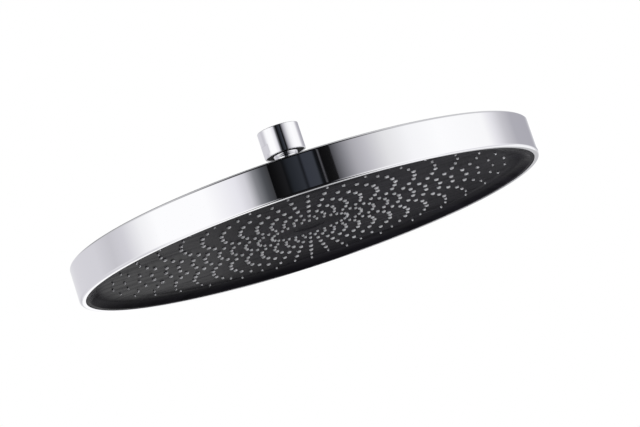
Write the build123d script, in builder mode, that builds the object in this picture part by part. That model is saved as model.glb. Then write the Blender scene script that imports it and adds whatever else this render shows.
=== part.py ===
# Rain shower head: a 300 mm chromed casing with a dark spray face, hung from a G1/2 union nut on a ball joint.
# Millimetres, +Z up. The origin is the middle of the nut's top face, where the shower arm screws in,
# and the head hangs below it. Heights are given above the casing's lip, the lowest edge of the head.
import os
from math import acos, cos, sin

from build123d import *

# Overall
total_height = 69.7
head_radius = 150.0
lip_z = -total_height

# Casing
rim_height = 22.6
rim_edge = 1.0
lip_width = 4.6
lip_round = 2.2
lip_facet = 0.3 * lip_round
shell_wall = 2.6
dome_top_radius = 32.0
dome_top_height = 30.8
boss_foot_radius = 24.0
boss_foot_height = 33.0
boss_top_radius = 14.0
boss_top_height = 45.0
boss_wall = 3.0

# Spray plate
plate_gap = 0.2
face_height = 4.8
cove_radius = 10.0
bead_height = 0.5
bead_width = 2.1
bead_chamfer = 0.3
plate_thickness = 2.6
skirt_height = 11.4
skirt_inner_radius = 138.5
pad_radius = 17.0
pad_height = 9.6

# Nozzles, in two interleaved sets of rings; each ring has its own size of nozzle, from the middle outwards
nozzles_per_ring = 32
ring_pitch = 17.25
even_ring_radius = 24.9
even_nozzle_radii = (1.0, 1.1, 1.3, 1.45, 1.45, 1.35, 1.15)
odd_ring_radius = 34.0
odd_nozzle_radii = (1.0, 1.2, 1.45, 1.45, 1.4, 1.25)
nozzle_height = 1.1
nozzle_taper = 20
nozzle_sides = 5

# Middle of the face
cap_pocket_radius = 9.9
cap_pocket_depth = 1.8
cap_radius = 9.7
cap_thickness = 1.65
cap_flat_radius = 7.6
cap_dish = 0.2
screw_head_radius = 4.2
screw_head_height = 1.7
screw_radius = 1.75
screw_tip_height = 13.0
screw_clearance = 0.35

# Chamber plate
chamber_radius = 144.5
chamber_top_height = 13.6
hub_radius = 12.5
hub_top_height = boss_top_height - boss_wall
insert_pocket_radius = 9.5
insert_floor_height = 32.0
seal_floor_height = 31.0
hub_bore_radius = 6.0
post_radius = 2.9
outlet_slot = (3.0, 3.4)
outlet_reach = 4.4

# Ball joint
ball_radius = 8.4
ball_height = 55.2
ball_flat = 3.3
neck_radius = 7.0
collar_radius = 9.0
collar_height = 48.0
collar_flats = 16.0
thread_radius = 7.4
stem_end_height = 33.0
stem_bore_radius = 4.5
limiter_pocket_radius = 5.6
limiter_pocket_depth = 3.0

# Swivel nut
nut_radius = 13.5
nut_edge = 0.5
nut_foot_height = 52.5
inlet_radius = 9.3
inlet_depth = 7.6
washer_seat_depth = 9.5
nut_bore_radius = 8.8
nut_flats = 25.4
nut_flats_span = (54.6, 60.4)
nut_flats_angle = 26.0

# Bearing ring in the foot of the nut
bearing_pocket_radius = 12.2
bearing_pocket_depth = 1.8
bearing_inset = 0.1
bearing_opening_radius = 8.1
bearing_top_radius = 8.75

# Washers, rings and seals
washer_thickness = 1.8
washer_hole_radius = 6.6
mesh_thickness = 0.4
ring_radius = 8.7
seat_bottom_height = ball_height + 3.0
seat_top_height = ball_height + 4.9
seat_radius = 8.0
seal_bottom_height = ball_height + 1.0
seal_bottom_radius = 8.5
stem_washer_radius = 11.0
stem_washer_thickness = 1.0
fit_gap = 0.05
limiter_thickness = 2.4
limiter_slot = (1.2, 4.0)
limiter_reach = 3.0


def lifted(points):
    """Profile points given as (radius, height above the lip), moved into the head's frame."""
    return [(radius, lip_z + height) for radius, height in points]


def section(*points):
    """Closed profile in the plane through the axis."""
    with BuildSketch(Plane.XZ) as outline:
        with BuildLine():
            Polyline(*lifted(points), close=True)
        make_face()
    return outline.sketch


def flat_ring(inner, outer, bottom, top):
    """Profile of a flat ring between two radii and two heights."""
    return section((inner, bottom), (outer, bottom), (outer, top), (inner, top))


def write(piece, name):
    """Label a finished piece and write it to its own file."""
    piece.part.label = name
    export_step(piece.part, f"parts/{name}.step")


os.makedirs("parts", exist_ok=True)

# Casing: rim, lip, low dome and the boss that the ball stem stands on, open below
lip_radius = head_radius - lip_width
hub_room = 0.4
with BuildPart() as casing:
    revolve(
        section(
            (lip_radius, 0),
            (head_radius - lip_round, 0),
            (head_radius - lip_facet, lip_facet),
            (head_radius, lip_round),
            (head_radius, rim_height - rim_edge),
            (head_radius - rim_edge, rim_height),
            (dome_top_radius, dome_top_height),
            (boss_foot_radius, boss_foot_height),
            (boss_top_radius, boss_top_height),
            (thread_radius + fit_gap, boss_top_height),
            (thread_radius + fit_gap, hub_top_height),
            (hub_radius + hub_room, hub_top_height),
            (boss_foot_radius - boss_wall, boss_foot_height - boss_wall),
            (dome_top_radius, dome_top_height - shell_wall),
            (lip_radius, rim_height - shell_wall),
        ),
        axis=Axis.Z,
    )
write(casing, "casing")

# Spray plate: bead and cove round a flat recessed face, a skirt behind it and a pocket for the cap
plate_radius = lip_radius - plate_gap
plate_back = face_height + plate_thickness
cap_pocket_height = face_height + cap_pocket_depth
head_pocket_height = cap_pocket_height + screw_head_height
bead_inner_radius = plate_radius - bead_width
cove_sweep = acos(1 - (face_height - bead_height) / cove_radius)
cove_start = bead_inner_radius - cove_radius * sin(cove_sweep)
cove_middle = (
    cove_start + cove_radius * sin(cove_sweep / 2),
    face_height - cove_radius * (1 - cos(cove_sweep / 2)),
)
with BuildPart() as spray_plate:
    revolve(
        section(
            (cap_pocket_radius, face_height),
            (cove_start, face_height),
            cove_middle,
            (bead_inner_radius, bead_height),
            (plate_radius - bead_chamfer, bead_height),
            (plate_radius, bead_height + bead_chamfer),
            (plate_radius, skirt_height),
            (skirt_inner_radius, skirt_height),
            (skirt_inner_radius, plate_back),
            (pad_radius, plate_back),
            (pad_radius, pad_height),
            (screw_radius + screw_clearance, pad_height),
            (screw_radius + screw_clearance, head_pocket_height),
            (screw_head_radius + screw_clearance, head_pocket_height),
            (screw_head_radius + screw_clearance, cap_pocket_height),
            (cap_pocket_radius, cap_pocket_height),
        ),
        axis=Axis.Z,
    )
write(spray_plate, "spray_plate")

# Soft nozzles: few-sided tips on the face, each side leaning in by the taper
face_z = lip_z + face_height


def soft_nozzle(base_radius):
    """One nozzle on the axis of the head, pointing down from the face."""
    with BuildPart() as nozzle:
        with BuildSketch(Plane.XY.offset(face_z)):
            RegularPolygon(base_radius, nozzle_sides, major_radius=False)
        extrude(amount=-nozzle_height)
        for side in range(nozzle_sides):
            outward = Vector(1, 0, 0).rotate(Axis.Z, (side + 0.5) * 360 / nozzle_sides)
            foot = outward * base_radius + Vector(0, 0, face_z)
            lean = outward.rotate(Axis((0, 0, 0), outward.cross(Vector(0, 0, 1))), -nozzle_taper)
            split(bisect_by=Plane(foot, z_dir=lean), keep=Keep.BOTTOM)
    return nozzle.part


# All the nozzles: each ring is turned half a step from the next
half_step = 180 / nozzles_per_ring
with BuildPart() as spray_nozzles:
    for ring, radius in enumerate(even_nozzle_radii):
        with PolarLocations(even_ring_radius + ring * ring_pitch, nozzles_per_ring):
            add(soft_nozzle(radius))
    for ring, radius in enumerate(odd_nozzle_radii):
        with PolarLocations(odd_ring_radius + ring * ring_pitch, nozzles_per_ring, half_step):
            add(soft_nozzle(radius))
write(spray_nozzles, "spray_nozzles")

# Centre cap: bare dished disc that hides the screw
cap_top = cap_pocket_height
cap_bottom = cap_top - cap_thickness
with BuildPart() as centre_cap:
    revolve(
        section(
            (0, cap_bottom + cap_dish),
            (cap_flat_radius, cap_bottom + cap_dish),
            (cap_flat_radius, cap_bottom),
            (cap_radius, cap_bottom),
            (cap_radius, cap_top),
            (0, cap_top),
        ),
        axis=Axis.Z,
    )
write(centre_cap, "centre_cap")

# Centre screw: pulls the middle of the spray plate up to the chamber plate
with BuildPart() as centre_screw:
    revolve(
        section(
            (0, cap_pocket_height),
            (screw_head_radius, cap_pocket_height),
            (screw_head_radius, head_pocket_height),
            (screw_radius, head_pocket_height),
            (screw_radius, screw_tip_height),
            (0, screw_tip_height),
        ),
        axis=Axis.Z,
    )
write(centre_screw, "centre_screw")

# Chamber plate: closes the water chamber, with the hub that the stem screws into and slots that let water through
with BuildPart() as chamber_plate:
    revolve(
        section(
            (screw_radius + fit_gap, pad_height),
            (post_radius, pad_height),
            (post_radius, skirt_height),
            (chamber_radius, skirt_height),
            (chamber_radius, chamber_top_height),
            (hub_radius, chamber_top_height),
            (hub_radius, hub_top_height),
            (insert_pocket_radius, hub_top_height),
            (insert_pocket_radius, insert_floor_height),
            (thread_radius, insert_floor_height),
            (thread_radius, seal_floor_height),
            (hub_bore_radius, seal_floor_height),
            (hub_bore_radius, chamber_top_height),
            (screw_radius + fit_gap, chamber_top_height),
        ),
        axis=Axis.Z,
    )
    with BuildSketch(Plane.XY.offset(lip_z + skirt_height)):
        with PolarLocations(outlet_reach, 4):
            Rectangle(*outlet_slot)
    extrude(amount=chamber_top_height - skirt_height, mode=Mode.SUBTRACT)
write(chamber_plate, "chamber_plate")

# Threaded bush in the hub, and the ring that seals the end of the stem
with BuildPart() as hub_insert:
    revolve(
        flat_ring(thread_radius + fit_gap, insert_pocket_radius - fit_gap, insert_floor_height, hub_top_height),
        axis=Axis.Z,
    )
write(hub_insert, "hub_insert")

with BuildPart() as hub_seal:
    revolve(
        flat_ring(hub_bore_radius, thread_radius - fit_gap, seal_floor_height, stem_end_height),
        axis=Axis.Z,
    )
write(hub_seal, "hub_seal")

# Ball stem: ball with a flat top, neck, collar with two flats, and the threaded end
washer_top = boss_top_height + stem_washer_thickness
ball_top = ball_height + ball_flat
ball_top_radius = (ball_radius**2 - ball_flat**2) ** 0.5
neck_height = ball_height - (ball_radius**2 - neck_radius**2) ** 0.5
pocket_floor = ball_top - limiter_pocket_depth
with BuildPart() as ball_stem:
    with BuildSketch(Plane.XZ):
        with BuildLine():
            Polyline(
                *lifted(
                    [
                        (ball_top_radius, ball_top),
                        (limiter_pocket_radius, ball_top),
                        (limiter_pocket_radius, pocket_floor),
                        (stem_bore_radius, pocket_floor),
                        (stem_bore_radius, stem_end_height),
                        (thread_radius, stem_end_height),
                        (thread_radius, washer_top),
                        (collar_radius, washer_top),
                        (collar_radius, collar_height),
                        (neck_radius, collar_height),
                        (neck_radius, neck_height),
                    ]
                )
            )
            ThreePointArc(
                *lifted([(neck_radius, neck_height), (ball_radius, ball_height), (ball_top_radius, ball_top)])
            )
        make_face()
    revolve(axis=Axis.Z)
    with BuildSketch(Plane.XY.offset(lip_z + washer_top)):
        Circle(collar_radius + 1)
        Rectangle(collar_flats, 3 * collar_radius, mode=Mode.SUBTRACT)
    extrude(amount=collar_height - washer_top, mode=Mode.SUBTRACT)
write(ball_stem, "ball_stem")

# Flow limiter: slotted disc in the top of the ball
with BuildPart() as flow_limiter:
    with BuildSketch(Plane.XY.offset(lip_z + pocket_floor)):
        Circle(limiter_pocket_radius - fit_gap)
        with PolarLocations(limiter_reach, 4):
            Rectangle(*limiter_slot, mode=Mode.SUBTRACT)
    extrude(amount=limiter_thickness)
write(flow_limiter, "flow_limiter")

# Stem washer: under the collar, on the boss of the casing
with BuildPart() as stem_washer:
    revolve(
        flat_ring(thread_radius + fit_gap, stem_washer_radius, boss_top_height, washer_top),
        axis=Axis.Z,
    )
write(stem_washer, "stem_washer")

# Ball seal and seat ring: close round the ball from above
with BuildPart() as ball_seal:
    revolve(
        section(
            (seal_bottom_radius, seal_bottom_height),
            (ring_radius, seal_bottom_height),
            (ring_radius, seat_bottom_height),
            (seat_radius, seat_bottom_height),
        ),
        axis=Axis.Z,
    )
write(ball_seal, "ball_seal")

with BuildPart() as seat_ring:
    revolve(flat_ring(seat_radius, ring_radius, seat_bottom_height, seat_top_height), axis=Axis.Z)
write(seat_ring, "seat_ring")

# Swivel nut: inlet thread, bore for the washer and the ball, and the pocket of the bearing ring
washer_seat = total_height - washer_seat_depth
bearing_top = nut_foot_height + bearing_pocket_depth
with BuildPart() as swivel_nut:
    revolve(
        section(
            (inlet_radius, total_height),
            (nut_radius - nut_edge, total_height),
            (nut_radius, total_height - nut_edge),
            (nut_radius, nut_foot_height + nut_edge),
            (nut_radius - nut_edge, nut_foot_height),
            (bearing_pocket_radius, nut_foot_height),
            (bearing_pocket_radius, bearing_top),
            (nut_bore_radius, bearing_top),
            (nut_bore_radius, total_height - inlet_depth),
            (inlet_radius, total_height - inlet_depth),
        ),
        axis=Axis.Z,
    )
    with BuildSketch(Plane.XY.offset(lip_z + nut_flats_span[0])):
        Circle(nut_radius + 1)
        Rectangle(nut_flats, 3 * nut_radius, rotation=nut_flats_angle, mode=Mode.SUBTRACT)
    extrude(amount=nut_flats_span[1] - nut_flats_span[0], mode=Mode.SUBTRACT)
write(swivel_nut, "swivel_nut")

# Bearing ring: screwed into the foot of the nut, with the conical seat that carries the ball
with BuildPart() as bearing_ring:
    revolve(
        section(
            (bearing_opening_radius, nut_foot_height + bearing_inset),
            (bearing_pocket_radius - fit_gap, nut_foot_height + bearing_inset),
            (bearing_pocket_radius - fit_gap, bearing_top),
            (bearing_top_radius, bearing_top),
        ),
        axis=Axis.Z,
    )
write(bearing_ring, "bearing_ring")

# Inlet washer, held in the nut's bore, with the strainer mesh across it
with BuildPart() as inlet_washer:
    revolve(
        flat_ring(washer_hole_radius, nut_bore_radius, washer_seat, washer_seat + washer_thickness),
        axis=Axis.Z,
    )
write(inlet_washer, "inlet_washer")

with BuildPart() as strainer_mesh:
    with BuildSketch(Plane.XY.offset(lip_z + washer_seat + washer_thickness / 2)):
        Circle(washer_hole_radius)
    extrude(amount=mesh_thickness)
write(strainer_mesh, "strainer_mesh")
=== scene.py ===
import math

import bmesh
import bpy
from mathutils import Matrix, Vector


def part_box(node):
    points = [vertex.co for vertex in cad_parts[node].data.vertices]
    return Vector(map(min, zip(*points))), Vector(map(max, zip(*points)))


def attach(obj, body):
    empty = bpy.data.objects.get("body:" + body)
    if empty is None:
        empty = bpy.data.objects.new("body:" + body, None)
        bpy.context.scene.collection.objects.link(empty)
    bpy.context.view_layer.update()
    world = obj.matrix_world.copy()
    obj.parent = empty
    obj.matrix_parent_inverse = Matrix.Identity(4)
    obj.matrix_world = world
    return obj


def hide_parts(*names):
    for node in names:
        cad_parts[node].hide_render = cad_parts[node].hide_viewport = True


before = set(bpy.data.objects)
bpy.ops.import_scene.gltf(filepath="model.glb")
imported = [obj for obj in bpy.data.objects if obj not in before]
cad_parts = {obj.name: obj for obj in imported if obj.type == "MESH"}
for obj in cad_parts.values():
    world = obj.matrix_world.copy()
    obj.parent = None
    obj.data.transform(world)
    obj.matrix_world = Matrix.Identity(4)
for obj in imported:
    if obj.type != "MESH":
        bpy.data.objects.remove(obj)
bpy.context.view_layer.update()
mm = 0.001
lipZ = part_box("casing")[0].z  # the casing's lip is the lowest edge, and heights below are millimetres above it


def hexToLinear(code):
    srgb = [int(code[i:i + 2], 16) / 255 for i in (1, 3, 5)]
    return (*[c / 12.92 if c <= 0.04045 else ((c + 0.055) / 1.055) ** 2.4 for c in srgb], 1.0)


def addNode(tree, kind, inputs=None, stops=None, **settings):
    node = tree.nodes.new("ShaderNode" + kind)
    for key, value in settings.items():
        setattr(node, key, value)
    for socket, value in (inputs or {}).items():
        if isinstance(value, bpy.types.NodeSocket):
            tree.links.new(value, node.inputs[socket])
        else:
            node.inputs[socket].default_value = value
    if stops:
        ramp = node.color_ramp.elements
        ramp[1].position = stops[-1][0]
        ramp[0].position = stops[0][0]
        for stop in stops[1:-1]:
            ramp.new(stop[0])
        for element, stop in zip(ramp, stops):
            element.color = hexToLinear(stop[1])
    return node


def newMaterial(name):
    made = bpy.data.materials.new(name)
    made.use_nodes = True
    return made, made.node_tree, made.node_tree.nodes["Principled BSDF"]


# chromium plate over polished metal or plastic: a mirror with a faint haze from polishing
chrome = dict(tint="#ececee", roughLow=0.018, roughHigh=0.045, hazeMm=14.0, hazeDetail=3.0, hazeSpan=(0.35, 0.65))


def chromePlate(name):
    made, tree, shader = newMaterial(name)
    place = addNode(tree, "TexCoord").outputs["Object"]
    haze = addNode(tree, "TexNoise", {
        "Vector": place, "Scale": 1 / (chrome["hazeMm"] * mm), "Detail": chrome["hazeDetail"],
    })
    gloss = addNode(tree, "MapRange", {
        "Value": haze.outputs["Fac"], "From Min": chrome["hazeSpan"][0], "From Max": chrome["hazeSpan"][1],
        "To Min": chrome["roughLow"], "To Max": chrome["roughHigh"],
    })
    tree.links.new(gloss.outputs["Result"], shader.inputs["Roughness"])
    shader.inputs["Base Color"].default_value = hexToLinear(chrome["tint"])
    shader.inputs["Metallic"].default_value = 1.0
    return made


chromeOnAbs = chromePlate("chrome plate on ABS")
chromeOnBrass = chromePlate("chrome plate on brass")

# satin moulded ABS: dark grey with a fine spark-eroded grain that hardly shines, and long faint flow streaks
# the streaks are drawn wider than they are, so that they show at this slant
satin = dict(dark="#121115", light="#1e1d22", grainMm=0.35, grainDetail=2.0, grainDeepMm=0.02, grainStrength=0.25,
             streakMm=7.0, streakLong=8.0, streakDetail=4.0, streakSpan=(0.3, 0.7),
             roughLow=0.12, roughHigh=0.3, shine=0.0022)
satinAbs, tree, shader = newMaterial("satin dark ABS")
place = addNode(tree, "TexCoord").outputs["Object"]
stretch = addNode(tree, "Mapping", {"Vector": place, "Scale": (1 / satin["streakLong"], 1.0, 1.0)})
streak = addNode(tree, "TexNoise", {
    "Vector": stretch.outputs["Vector"], "Scale": 1 / (satin["streakMm"] * mm), "Detail": satin["streakDetail"],
})
tone = addNode(tree, "ValToRGB", {"Fac": streak.outputs["Fac"]},
               stops=[(satin["streakSpan"][0], satin["dark"]), (satin["streakSpan"][1], satin["light"])])
gloss = addNode(tree, "MapRange", {
    "Value": streak.outputs["Fac"], "From Min": satin["streakSpan"][0], "From Max": satin["streakSpan"][1],
    "To Min": satin["roughLow"], "To Max": satin["roughHigh"],
})
grain = addNode(tree, "TexNoise", {
    "Vector": place, "Scale": 1 / (satin["grainMm"] * mm), "Detail": satin["grainDetail"],
})
bump = addNode(tree, "Bump", {
    "Height": grain.outputs["Fac"], "Strength": satin["grainStrength"], "Distance": satin["grainDeepMm"] * mm,
})
tree.links.new(tone.outputs["Color"], shader.inputs["Base Color"])
tree.links.new(gloss.outputs["Result"], shader.inputs["Roughness"])
tree.links.new(bump.outputs["Normal"], shader.inputs["Normal"])
shader.inputs["Specular IOR Level"].default_value = satin["shine"]

# soft silicone: pale grey, a little waxy, with a dull skin
silicone = dict(low="#cacace", high="#d4d4d8", patchMm=3.0, patchDetail=2.0, patchSpan=(0.3, 0.7),
                rough=0.5, shine=0.25)
softSilicone, tree, shader = newMaterial("pale grey silicone")
place = addNode(tree, "TexCoord").outputs["Object"]
patch = addNode(tree, "TexNoise", {
    "Vector": place, "Scale": 1 / (silicone["patchMm"] * mm), "Detail": silicone["patchDetail"],
})
tone = addNode(tree, "ValToRGB", {"Fac": patch.outputs["Fac"]},
               stops=[(silicone["patchSpan"][0], silicone["low"]), (silicone["patchSpan"][1], silicone["high"])])
tree.links.new(tone.outputs["Color"], shader.inputs["Base Color"])
shader.inputs["Roughness"].default_value = silicone["rough"]
shader.inputs["Specular IOR Level"].default_value = silicone["shine"]

# plain finishes of the pieces inside, each with a fine grain from the mould, the lathe or the cutter
plain = {
    # dull black with a slight moulded sheen
    "black_abs": dict(name="black moulded ABS", low="#161617", high="#1c1c1e", rough=0.45, metal=0.0, shine=0.5),
    # warm yellow metal, softly bright from the lathe
    "bare_brass": dict(name="turned brass", low="#b8923f", high="#c9a552", rough=0.28, metal=1.0, shine=0.5),
    # matt black
    "black_rubber": dict(name="black nitrile rubber", low="#141415", high="#1b1b1c", rough=0.7, metal=0.0, shine=0.4),
    # near black, almost without shine
    "black_acetal": dict(name="black acetal", low="#0b0b0c", high="#101011", rough=0.5, metal=0.0, shine=0.02),
    # milky white, slightly waxy
    "white_acetal": dict(name="white acetal", low="#dcdbd5", high="#e4e3de", rough=0.4, metal=0.0, shine=0.5),
    # grey metal with soft highlights
    "stainless_steel": dict(name="drawn stainless steel", low="#a9aaac", high="#bcbdbf",
                            rough=0.3, metal=1.0, shine=0.5),
}
plainGrain = dict(sizeMm=0.8, detail=3.0, span=(0.35, 0.65), strength=0.15, deepMm=0.03)
plainFinish = {}
for slot, finish in plain.items():
    made, tree, shader = newMaterial(finish["name"])
    place = addNode(tree, "TexCoord").outputs["Object"]
    grain = addNode(tree, "TexNoise", {
        "Vector": place, "Scale": 1 / (plainGrain["sizeMm"] * mm), "Detail": plainGrain["detail"],
    })
    tone = addNode(tree, "ValToRGB", {"Fac": grain.outputs["Fac"]},
                   stops=[(plainGrain["span"][0], finish["low"]), (plainGrain["span"][1], finish["high"])])
    bump = addNode(tree, "Bump", {
        "Height": grain.outputs["Fac"], "Strength": plainGrain["strength"], "Distance": plainGrain["deepMm"] * mm,
    })
    tree.links.new(tone.outputs["Color"], shader.inputs["Base Color"])
    tree.links.new(bump.outputs["Normal"], shader.inputs["Normal"])
    shader.inputs["Roughness"].default_value = finish["rough"]
    shader.inputs["Metallic"].default_value = finish["metal"]
    shader.inputs["Specular IOR Level"].default_value = finish["shine"]
    plainFinish[slot] = made
print("materials: %d" % len(bpy.data.materials))

tiny = 1e-6  # millimetres, for radii that should be equal


def roundCorners(points, steps=9, hold=0.25):
    # each point is radius, height and the radius its corner is rounded to; hold keeps flats flat next to a curve
    outline = []
    for i, (radius, height, corner) in enumerate(points):
        here = Vector((radius, height))
        if not corner:
            outline.append((radius, height))
            continue
        back = Vector(points[i - 1][:2]) - here
        ahead = Vector(points[(i + 1) % len(points)][:2]) - here
        halfAngle = back.angle(ahead) / 2
        cut = corner / math.tan(halfAngle)
        middle = here + (back.normalized() + ahead.normalized()).normalized() * corner / math.sin(halfAngle)
        start, end = here + back.normalized() * cut, here + ahead.normalized() * cut
        if back.length > cut + 2 * hold:
            outline.append(tuple(start + back.normalized() * hold))
        sweep = (start - middle).angle_signed(end - middle)
        for k in range(steps + 1):
            turned = Matrix.Rotation(-sweep * k / steps, 2) @ (start - middle)
            outline.append(tuple(middle + turned))
        if ahead.length > cut + 2 * hold:
            outline.append(tuple(end + ahead.normalized() * hold))
    return outline


def finishMesh(name, verts, faces, sharpAngle=16):
    mesh = bpy.data.meshes.new(name)
    mesh.from_pydata(verts, [], faces)
    work = bmesh.new()
    work.from_mesh(mesh)
    bmesh.ops.recalc_face_normals(work, faces=work.faces)
    work.to_mesh(mesh)
    work.free()
    mesh.shade_smooth()
    mesh.set_sharp_from_angle(angle=math.radians(sharpAngle))
    piece = bpy.data.objects.new(name, mesh)
    bpy.context.scene.collection.objects.link(piece)
    return piece


def inMetres(verts):
    return [(v.x * mm, v.y * mm, lipZ + v.z * mm) for v in verts]


def turnedRows(outline, segments, carve=None, first=0):
    # rings of points round the axis, and the faces between each ring and the next
    verts, rows, faces = [], [], []
    for radius, height in outline:
        if radius < tiny:
            rows.append([first + len(verts)] * segments)
            verts.append(Vector((0, 0, height)))
            continue
        rows.append(list(range(first + len(verts), first + len(verts) + segments)))
        for step in range(segments):
            angle = 2 * math.pi * step / segments
            reach = carve(radius, height, angle) if carve else radius
            verts.append(Vector((reach * math.cos(angle), reach * math.sin(angle), height)))
    for row, nextRow in zip(rows, rows[1:] + rows[:1]):
        for step in range(segments):
            after = (step + 1) % segments
            face = list(dict.fromkeys((row[step], row[after], nextRow[after], nextRow[step])))
            if len(face) > 2:
                faces.append(face)
    return verts, faces


def turnPiece(name, points, segments, carve=None):
    verts, faces = turnedRows(roundCorners(points), segments, carve)
    return finishMesh(name, inMetres(verts), faces)


def cutFlats(radius, across, angle, leastCos=0.1):
    # two flats for a wrench; leastCos keeps the division off zero at the sides
    return min(radius, across / 2 / max(abs(math.cos(angle)), leastCos))


def threadGroove(height, angle, pitch, low, high, fade):
    # how far into the thread's groove this point is, from 0 to 1, run out at both ends
    wave = 0.5 - 0.5 * math.cos(2 * math.pi * height / pitch - angle)
    return wave * min(1, (height - low) / fade, (high - height) / fade)


def fit(piece, body, finish, node):
    piece.data.materials.append(finish)
    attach(piece, body)
    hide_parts(node)


# casing: upright rim, rolled lip, low dome and boss
casing = dict(radius=150.0, lipInner=146.2, lipSlope=0.08, lipEdge=0.15, lipRound=1.6, rimTop=22.6, rimRound=1.6,
              domeTop=(32.0, 30.8), domeRound=9.0, bossFoot=(24.0, 33.0), bossFootRound=5.0,
              bossTop=(14.0, 45.0), bossTopRound=1.2, stemHole=7.45, hollowTop=(12.9, 42.0), hollowFoot=(21.0, 30.0),
              wall=2.6, segments=384)
shell = turnPiece("casing_shell", [
    (casing["lipInner"], 0, casing["lipEdge"]),
    (casing["radius"], casing["lipSlope"], casing["lipRound"]),
    (casing["radius"], casing["rimTop"], casing["rimRound"]),
    (*casing["domeTop"], casing["domeRound"]),
    (*casing["bossFoot"], casing["bossFootRound"]),
    (*casing["bossTop"], casing["bossTopRound"]),
    (casing["stemHole"], casing["bossTop"][1], 0),
    (casing["stemHole"], casing["hollowTop"][1], 0),
    (*casing["hollowTop"], 0),
    (*casing["hollowFoot"], 0),
    (casing["domeTop"][0], casing["domeTop"][1] - casing["wall"], 0),
    (casing["lipInner"], casing["rimTop"] - casing["wall"], 0),
], casing["segments"])
fit(shell, "head", chromeOnAbs, "casing")

# spray plate: bead, a cove eased in two curves, the flat face, and the pocket of the cap with its screw hole
plate = dict(radius=146.0, beadLow=0.3, beadInner=143.8, beadEdge=0.25, beadFoot=0.2, face=4.2,
             coveStart=133.5, coveEase=34.0, coveCorner=(140.5, 2.6), coveRound=15.0,
             skirt=11.4, skirtInner=138.5, back=7.4, hub=17.0, hubTop=9.6,
             screwHole=2.1, screwHead=4.55, screwSeat=8.3, pocket=9.9, pocketTop=6.6, pocketEdge=0.3, segments=320)
dish = turnPiece("spray_dish", [
    (plate["pocket"], plate["face"], plate["pocketEdge"]),
    (plate["coveStart"], plate["face"], plate["coveEase"]),
    (*plate["coveCorner"], plate["coveRound"]),
    (plate["beadInner"], plate["beadLow"], plate["beadFoot"]),
    (plate["radius"], plate["beadLow"], plate["beadEdge"]),
    (plate["radius"], plate["skirt"], 0),
    (plate["skirtInner"], plate["skirt"], 0),
    (plate["skirtInner"], plate["back"], 0),
    (plate["hub"], plate["back"], 0),
    (plate["hub"], plate["hubTop"], 0),
    (plate["screwHole"], plate["hubTop"], 0),
    (plate["screwHole"], plate["screwSeat"], 0),
    (plate["screwHead"], plate["screwSeat"], 0),
    (plate["screwHead"], plate["pocketTop"], 0),
    (plate["pocket"], plate["pocketTop"], 0),
], plate["segments"])
fit(dish, "head", satinAbs, "spray_plate")

# soft nozzles: rings of 32, every other ring turned half a step
# even and odd give the first ring's radius, and then the radius of the nozzles in each ring
nozzle = dict(tipShare=0.85, tipRound=0.5, boreShare=0.2, boreDepth=0.7, height=1.0, sunk=0.05,
              segments=16, curveSteps=5, curveHold=0.1, sharpAngle=50, perRing=32, pitch=17.25,
              even=(24.9, (0.95, 1.1, 1.3, 1.45, 1.4, 1.05, 0.75)), odd=(34.0, (1.0, 1.2, 1.4, 1.45, 1.4, 0.8)))
rootHeight = plate["face"] + nozzle["sunk"]
tipHeight = plate["face"] - nozzle["height"]
boreEnd = tipHeight + nozzle["boreDepth"]
verts, faces = [], []
for (start, radii), offset in ((nozzle["even"], 0.0), (nozzle["odd"], 0.5)):
    for ring, wide in enumerate(radii):
        bore = wide * nozzle["boreShare"]
        nub = roundCorners([
            (0, rootHeight, 0),
            (wide, rootHeight, 0),
            (wide * nozzle["tipShare"], tipHeight, wide * nozzle["tipRound"]),
            (bore, tipHeight, 0),
            (bore, boreEnd, 0),
            (0, boreEnd, 0),
        ], nozzle["curveSteps"], nozzle["curveHold"])
        for step in range(nozzle["perRing"]):
            angle = 2 * math.pi * (step + offset) / nozzle["perRing"]
            middle = Vector((math.cos(angle), math.sin(angle), 0)) * (start + ring * nozzle["pitch"])
            nubVerts, nubFaces = turnedRows(nub, nozzle["segments"], first=len(verts))
            verts += [v + middle for v in nubVerts]
            faces += nubFaces
nubs = finishMesh("soft_nozzles", inMetres(verts), faces, nozzle["sharpAngle"])
fit(nubs, "head", softSilicone, "spray_nozzles")
print("head: casing, spray plate and nozzles")

# centre cap: bare dished disc
cap = dict(radius=9.7, edge=0.3, rimLow=4.35, rimInner=7.6, rimEdge=0.1, dish=4.55, dishEdge=0.15, back=6.6,
           segments=128)
disc = turnPiece("centre_disc", [
    (0, cap["dish"], 0),
    (cap["rimInner"], cap["dish"], cap["dishEdge"]),
    (cap["rimInner"], cap["rimLow"], cap["rimEdge"]),
    (cap["radius"], cap["rimLow"], cap["edge"]),
    (cap["radius"], cap["back"], 0),
    (0, cap["back"], 0),
], cap["segments"])
fit(disc, "head", satinAbs, "centre_cap")

# ball stem: ball, neck, collar with two flats, and the thread that screws into the hub
ball = dict(radius=8.4, middle=55.2, top=58.5, arcSteps=40, topEdge=0.2, limiterSeat=(5.6, 55.5), bore=4.5,
            neck=7.0, neckRound=0.3, collar=9.0, collarSpan=(46.0, 48.0), collarEdge=0.2, flats=16.0, flatsSlack=0.01,
            end=33.0, thread=7.4, threadPitch=1.5, threadDeep=0.75, threadFade=0.6, rowStep=0.06, rowCount=150,
            segments=128)
arcLow = math.asin(-math.sqrt(1 - (ball["neck"] / ball["radius"]) ** 2))
arcHigh = math.asin((ball["top"] - ball["middle"]) / ball["radius"])
arc = [arcLow + (arcHigh - arcLow) * k / ball["arcSteps"] for k in range(ball["arcSteps"] + 1)]
threadRows = [ball["end"] + ball["rowStep"] * k for k in range(ball["rowCount"])]
stemPoints = [(ball["radius"] * math.cos(a), ball["middle"] + ball["radius"] * math.sin(a), 0) for a in arc]
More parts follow.
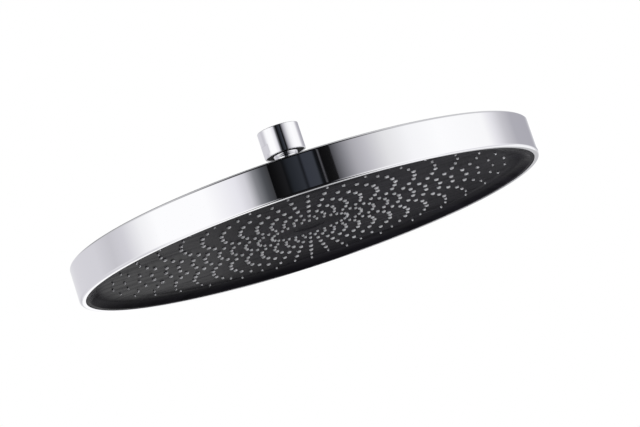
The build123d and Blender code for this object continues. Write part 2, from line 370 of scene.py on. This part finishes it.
stemPoints += [
    (ball["limiterSeat"][0], ball["top"], ball["topEdge"]),
    (*ball["limiterSeat"], 0),
    (ball["bore"], ball["limiterSeat"][1], 0),
    (ball["bore"], ball["end"], 0),
]
stemPoints += [(ball["thread"], h, 0) for h in threadRows]
stemPoints += [
    (ball["thread"], ball["collarSpan"][0], 0),
    (ball["collar"], ball["collarSpan"][0], ball["collarEdge"]),
    (ball["collar"], ball["collarSpan"][1], ball["collarEdge"]),
    (ball["neck"], ball["collarSpan"][1], ball["neckRound"]),
]


def carveStem(radius, height, angle):
    foot, top = ball["collarSpan"]
    if foot < height < top + ball["flatsSlack"] and radius > ball["flats"] / 2:
        return cutFlats(radius, ball["flats"], angle)
    if height < threadRows[-1] and abs(radius - ball["thread"]) < tiny:
        return radius - ball["threadDeep"] * threadGroove(
            height, angle, ball["threadPitch"], threadRows[0], threadRows[-1], ball["threadFade"])
    return radius


stem = turnPiece("ball_and_stem", stemPoints, ball["segments"], carveStem)
fit(stem, "head", chromeOnBrass, "ball_stem")

# swivel nut: rounded edges, wrench flats and the pipe thread of the inlet
nut = dict(radius=13.5, top=69.7, foot=52.5, edge=0.5, pocket=12.2, pocketEdge=0.15, pocketTop=54.3, bore=8.8,
           inlet=9.3, inletLow=62.1, threadPitch=1.814, threadDeep=1.1, threadFade=0.8, rowCount=120,
           flats=25.4, flatsSpan=(54.6, 60.4), flatsStep=0.02, flatsTurn=26.0, segments=192)
flatsLow, flatsHigh = nut["flatsSpan"]
flatRows = [flatsLow, flatsLow + nut["flatsStep"], flatsHigh - nut["flatsStep"], flatsHigh]
inletDeep = nut["top"] - nut["inletLow"]
inletRows = [nut["inletLow"] + inletDeep * k / nut["rowCount"] for k in range(nut["rowCount"] + 1)]
nutPoints = [(nut["inlet"], h, 0) for h in inletRows]
nutPoints += [(nut["radius"], nut["top"], nut["edge"])]
nutPoints += [(nut["radius"], h, 0) for h in reversed(flatRows)]
nutPoints += [
    (nut["radius"], nut["foot"], nut["edge"]),
    (nut["pocket"], nut["foot"], nut["pocketEdge"]),
    (nut["pocket"], nut["pocketTop"], 0),
    (nut["bore"], nut["pocketTop"], 0),
    (nut["bore"], nut["inletLow"], 0),
]


def carveNut(radius, height, angle):
    inset = nut["flatsStep"] / 2
    if flatsLow + inset < height < flatsHigh - inset and radius > nut["flats"] / 2:
        return cutFlats(radius, nut["flats"], angle - math.radians(nut["flatsTurn"]))
    if abs(radius - nut["inlet"]) < tiny:
        return radius + nut["threadDeep"] * threadGroove(
            height, angle, nut["threadPitch"], nut["inletLow"], nut["top"], nut["threadFade"])
    return radius


swivel = turnPiece("union_nut", nutPoints, nut["segments"], carveNut)
fit(swivel, "inlet", chromeOnBrass, "swivel_nut")
print("ball joint: stem and nut")

# inlet washer with rounded edges
washer = dict(inner=6.6, outer=8.8, low=60.2, high=62.0, edge=0.3, segments=96)
seal = turnPiece("sealing_washer", [
    (washer["inner"], washer["low"], washer["edge"]),
    (washer["outer"], washer["low"], washer["edge"]),
    (washer["outer"], washer["high"], washer["edge"]),
    (washer["inner"], washer["high"], washer["edge"]),
], washer["segments"])
fit(seal, "inlet", plainFinish["black_rubber"], "inlet_washer")

# strainer: woven wire across the washer
weave = dict(radius=6.6, middle=61.3, wire=0.11, pitch=0.75, wave=0.11, pointsPerMm=8, fewestPoints=4)
strainer = bpy.data.curves.new("woven_strainer", "CURVE")
strainer.dimensions = "3D"
strainer.bevel_depth = weave["wire"] * mm
strainer.bevel_resolution = 1
lineCount = int(weave["radius"] / weave["pitch"])
for across in (0, 1):
    for line in range(-lineCount, lineCount + 1):
        offset = line * weave["pitch"]
        halfLong = math.sqrt(weave["radius"] ** 2 - offset ** 2)
        count = max(weave["fewestPoints"], int(halfLong * weave["pointsPerMm"]))
        wire = strainer.splines.new("POLY")
        wire.points.add(count)
        for k in range(count + 1):
            along = -halfLong + 2 * halfLong * k / count
            lift = weave["wave"] * math.cos(math.pi * (along / weave["pitch"] + line + across))
            spot = (along, offset) if across else (offset, along)
            wire.points[k].co = (spot[0] * mm, spot[1] * mm, lipZ + (weave["middle"] + lift) * mm, 1)
strainerPiece = bpy.data.objects.new("woven_strainer", strainer)
bpy.context.scene.collection.objects.link(strainerPiece)
fit(strainerPiece, "inlet", plainFinish["stainless_steel"], "strainer_mesh")

# pieces inside keep their solids
kept = {
    "seat_ring": "white_acetal", "ball_seal": "black_rubber", "flow_limiter": "white_acetal",
    "bearing_ring": "black_acetal", "stem_washer": "black_rubber", "hub_insert": "bare_brass",
    "hub_seal": "black_rubber", "chamber_plate": "black_abs", "centre_screw": "stainless_steel",
}
for node, slot in kept.items():
    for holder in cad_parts[node].material_slots:
        holder.material = plainFinish[slot]
print("small pieces: washer, strainer and %d kept solids" % len(kept))

# floor far below, as under a shower: matt paint, faintly mottled
floor = dict(drop=3.0, size=40.0, low="#f2f2f2", high="#f4f4f4", mottleMm=300.0, mottleSpan=(0.3, 0.7),
             rough=0.8, glow=0.8)
reach, depth = floor["size"] / 2, -floor["drop"]
ground = finishMesh("floor", [
    (-reach, -reach, depth), (reach, -reach, depth), (reach, reach, depth), (-reach, reach, depth),
], [(0, 1, 2, 3)])
floorPaint, tree, shader = newMaterial("pale floor paint")
place = addNode(tree, "TexCoord").outputs["Object"]
mottle = addNode(tree, "TexNoise", {"Vector": place, "Scale": 1 / (floor["mottleMm"] * mm)})
tone = addNode(tree, "ValToRGB", {"Fac": mottle.outputs["Fac"]},
               stops=[(floor["mottleSpan"][0], floor["low"]), (floor["mottleSpan"][1], floor["high"])])
rays = addNode(tree, "LightPath").outputs
seen = addNode(tree, "Math", {0: rays["Is Camera Ray"], 1: rays["Is Glossy Ray"]}, operation="MAXIMUM")
glow = addNode(tree, "Math", {0: seen.outputs["Value"], 1: floor["glow"]}, operation="MULTIPLY")
tree.links.new(tone.outputs["Color"], shader.inputs["Base Color"])
tree.links.new(glow.outputs["Value"], shader.inputs["Emission Strength"])
shader.inputs["Roughness"].default_value = floor["rough"]
shader.inputs["Emission Color"].default_value = (1, 1, 1, 1)
ground.data.materials.append(floorPaint)
ground.visible_glossy = False  # the chrome shows the studio below instead

# studio: a pale tent all round, a dark panel at the camera with a darker gap under it, a dark ceiling,
# a card below, and a sheet low at the back that the lip and the face shine with
# fades and edges are the Z or Y part of a direction, where Z is up and Y is away from the camera
studio = dict(turn=2.63, ambient=0.06, tent=1.16, lowFade=(-0.02, -0.12), farFade=(-0.3, 0.3), ceilingFade=(0.3, 0.5),
              gapTop=-0.2, gapTone="#0a0a0b", cardTop=-0.78, sheetFront=0.6, sheetFade=(-0.18, -0.2))
# tones by compass degrees from the camera: the tent, its low far side, the ceiling and the panel
tentStops = [
    (-180, "#dcdcde"), (-150, "#d2d1d6"), (-118, "#d2d1d6"), (-103, "#c6c5ca"), (-92, "#d2d1d6"), (-80, "#f2f2f3"),
    (-70, "#ffffff"), (-42, "#ffffff"), (-26, "#e8e7ec"), (-21, "#cfced3"), (-17, "#86878b"), (-13, "#4e5054"),
    (-9, "#343436"), (20, "#424246"), (25, "#808085"), (30, "#a9a8ad"), (36, "#bfbec3"), (46, "#e4e4e5"),
    (58, "#f7f7f8"), (75, "#ffffff"), (105, "#fafafa"), (112, "#e6e5e9"), (121, "#c6c5ca"), (132, "#adacb3"),
    (155, "#a6a5ad"), (160, "#c0c0c4"), (164, "#ffffff"), (180, "#f4f4f6"),
]
lowStops = [
    (-180, "#525254"), (-178, "#a0a0a2"), (-176.5, "#e4e4e6"), (-174.5, "#ffffff"), (-172.8, "#f4f4f6"),
    (-170.8, "#cacacc"), (-166, "#c6c6ca"), (-120, "#d4d3d8"), (-90, "#e8e8ea"), (-70, "#ffffff"),
    (100, "#ffffff"), (115, "#e6e5e9"), (125, "#dcdce0"), (150, "#e0e0e2"), (168, "#d0d0d2"),
    (174.6, "#b8b8ba"), (175.6, "#444446"), (178.5, "#4c4c4e"), (180, "#525254"),
]
ceilingStops = [
    (-180, "#161618"), (-172, "#161618"), (-160, "#88888a"), (-145, "#88888a"), (-125, "#b0b0b2"), (-100, "#d0d0d2"),
    (-75, "#c8c8ca"), (-52, "#8a8a8c"), (-42, "#505052"), (-32, "#101012"), (36, "#060607"), (52, "#9a9a9c"),
    (66, "#cacacc"), (160, "#cacacc"), (172, "#161618"), (180, "#161618"),
]
panelStops = [
    (-9.6, "#0a0a0b"), (-7, "#111112"), (-3.4, "#1c1c1e"), (-2.5, "#111214"), (-0.6, "#22252a"), (4.4, "#2f3238"),
    (5.6, "#17191d"), (6.7, "#353840"), (11.6, "#393c43"), (12.5, "#15171a"), (13.8, "#0b0c0e"), (14.4, "#56565a"),
    (15.0, "#0c0c0d"), (20.2, "#171718"),
]
# tones by the sideways part of a direction: the card and the sheet
cardStops = [
    (-1, "#e0e0e2"), (-0.3, "#ffffff"), (-0.18, "#d0d0d2"), (-0.12, "#28282a"), (0.22, "#1c1c1e"),
    (0.28, "#b0b0b2"), (0.36, "#f4f4f6"), (0.6, "#f4f4f6"), (1, "#d8d8da"),
]
sheetStops = [
    (-0.3, "#d4d3d8"), (-0.12, "#dcdce0"), (-0.07, "#ffffff"), (0.02, "#ffffff"), (0.03, "#d0d0d2"),
    (0.04, "#b0b0b2"), (0.06, "#b0b0b2"), (0.07, "#c8c8ca"), (0.09, "#f4f4f6"), (0.3, "#f4f4f6"),
]
world = bpy.data.worlds.new("studio")
bpy.context.scene.world = world
world.use_nodes = True
tree = world.node_tree
tree.nodes.clear()
direction = addNode(tree, "SeparateXYZ", {0: addNode(tree, "TexCoord").outputs["Generated"]}).outputs
toward = addNode(tree, "Math", {0: direction["Y"], 1: -1.0}, operation="MULTIPLY").outputs["Value"]
compass = addNode(tree, "Math", {0: direction["X"], 1: toward}, operation="ARCTAN2").outputs["Value"]
degrees = addNode(tree, "Math", {0: compass, 1: 180 / math.pi, 2: studio["turn"]},
                  operation="MULTIPLY_ADD").outputs["Value"]
tones = {}
for name, value, stops in (
    ("tent", degrees, tentStops), ("low", degrees, lowStops), ("ceiling", degrees, ceilingStops),
    ("panel", degrees, panelStops), ("card", direction["X"], cardStops), ("sheet", direction["X"], sheetStops),
):
    first, last = stops[0][0], stops[-1][0]
    along = addNode(tree, "MapRange", {"Value": value, "From Min": first, "From Max": last})
    shares = [((place - first) / (last - first), code) for place, code in stops]
    tones[name] = addNode(tree, "ValToRGB", {"Fac": along.outputs["Result"]}, stops=shares).outputs["Color"]
fades = {}
for name, part in (("low", "Z"), ("far", "Y"), ("ceiling", "Z"), ("sheet", "Z")):
    begin, end = studio[name + "Fade"]
    fades[name] = addNode(tree, "MapRange", {
        "Value": direction[part], "From Min": begin, "From Max": end,
    }).outputs["Result"]
edges = {}
for name, value, limit, side in (
    ("panelLeft", degrees, panelStops[0][0], "GREATER_THAN"), ("panelRight", degrees, panelStops[-1][0], "LESS_THAN"),
    ("gap", direction["Z"], studio["gapTop"], "LESS_THAN"), ("card", direction["Z"], studio["cardTop"], "LESS_THAN"),
    ("sheet", direction["Y"], studio["sheetFront"], "GREATER_THAN"),
):
    edges[name] = addNode(tree, "Math", {0: value, 1: limit}, operation=side).outputs["Value"]
masks = {}
for name, one, other in (
    ("low", fades["low"], fades["far"]), ("panel", edges["panelLeft"], edges["panelRight"]),
    ("sheet", edges["sheet"], fades["sheet"]),
):
    masks[name] = addNode(tree, "Math", {0: one, 1: other}, operation="MULTIPLY").outputs["Value"]
masks["gap"] = addNode(tree, "Math", {0: edges["gap"], 1: masks["panel"]}, operation="MULTIPLY").outputs["Value"]
mirrorTone = tones["tent"]
for mask, over in (
    (masks["low"], tones["low"]), (masks["panel"], tones["panel"]), (fades["ceiling"], tones["ceiling"]),
    (masks["gap"], hexToLinear(studio["gapTone"])), (edges["card"], tones["card"]), (masks["sheet"], tones["sheet"]),
):
    mirrorTone = addNode(tree, "Mix", {"Factor": mask, 6: mirrorTone, 7: over}, data_type="RGBA").outputs[2]
rays = addNode(tree, "LightPath").outputs
mirrored = addNode(tree, "Math", {0: rays["Is Glossy Ray"], 1: rays["Is Transmission Ray"]}, operation="MAXIMUM")
soft = addNode(tree, "Background", {"Color": (1, 1, 1, 1), "Strength": studio["ambient"]})
white = addNode(tree, "Background", {"Color": (1, 1, 1, 1), "Strength": 1.0})
shown = addNode(tree, "Background", {"Color": mirrorTone, "Strength": studio["tent"]})
inChrome = addNode(tree, "MixShader", {0: mirrored.outputs["Value"], 1: soft.outputs[0], 2: shown.outputs[0]})
behind = addNode(tree, "MixShader", {0: rays["Is Camera Ray"], 1: inChrome.outputs[0], 2: white.outputs[0]})
addNode(tree, "OutputWorld", {"Surface": behind.outputs[0]})

# soft lamps: one low at the far left, two close under the face for the nozzles, and a large one overhead
lamps = {
    "lampLeft": dict(spot=(-0.5, 0.45, -0.42), aim=(0, 0, -0.07), size=0.2, watts=0.3),
    "lampNear": dict(spot=(0.1, -0.14, -0.29), aim=(0.07, -0.07, -0.066), size=0.12, watts=0.39),
    "lampFar": dict(spot=(0.1, 0.08, -0.29), aim=(0.07, 0.05, -0.066), size=0.12, watts=0.26),
    "lampTop": dict(spot=(-0.3, -0.6, 1.4), aim=(0, 0, 0), size=1.2, watts=18.0),
}
for name, lamp in lamps.items():
    light = bpy.data.lights.new(name, "AREA")
    light.size = lamp["size"]
    light.energy = lamp["watts"]
    holder = bpy.data.objects.new(name, light)
    holder.location = lamp["spot"]
    holder.rotation_mode = "QUATERNION"
    holder.rotation_quaternion = (Vector(lamp["aim"]) - Vector(lamp["spot"])).to_track_quat("-Z", "Y")
    holder.visible_camera = holder.visible_glossy = False
    bpy.context.scene.collection.objects.link(holder)

# camera: just below the head, looking up and rolled; across and down are pixels of the picture
view = dict(lens=128.03, sensor=36, distance=1.4185, elevation=-9.163, roll=-18.29, turn=-2.63,
            across=-8.4, down=19.27, widthPx=640)
rise, roll = math.radians(view["elevation"]), math.radians(view["roll"])
ahead = Vector((0, math.cos(rise), -math.sin(rise)))
level = Vector((1, 0, 0))
upright = level.cross(ahead)
right = math.cos(roll) * level + math.sin(roll) * upright
up = -math.sin(roll) * level + math.cos(roll) * upright
perPx = view["distance"] * view["sensor"] / view["lens"] / view["widthPx"]
pose = Matrix((right, up, -ahead)).transposed().to_4x4()
pose.translation = -ahead * view["distance"] - right * view["across"] * perPx + up * view["down"] * perPx
lens = bpy.data.cameras.new("camera")
lens.lens = view["lens"]
lens.sensor_width = view["sensor"]
camera = bpy.data.objects.new("camera", lens)
camera.matrix_world = Matrix.Translation((0, 0, lipZ)) @ Matrix.Rotation(math.radians(view["turn"]), 4, "Z") @ pose
bpy.context.scene.collection.objects.link(camera)
bpy.context.scene.camera = camera
bpy.context.scene.view_settings.view_transform = "Standard"
print("stage: floor, studio, %d lamps and camera" % len(lamps))
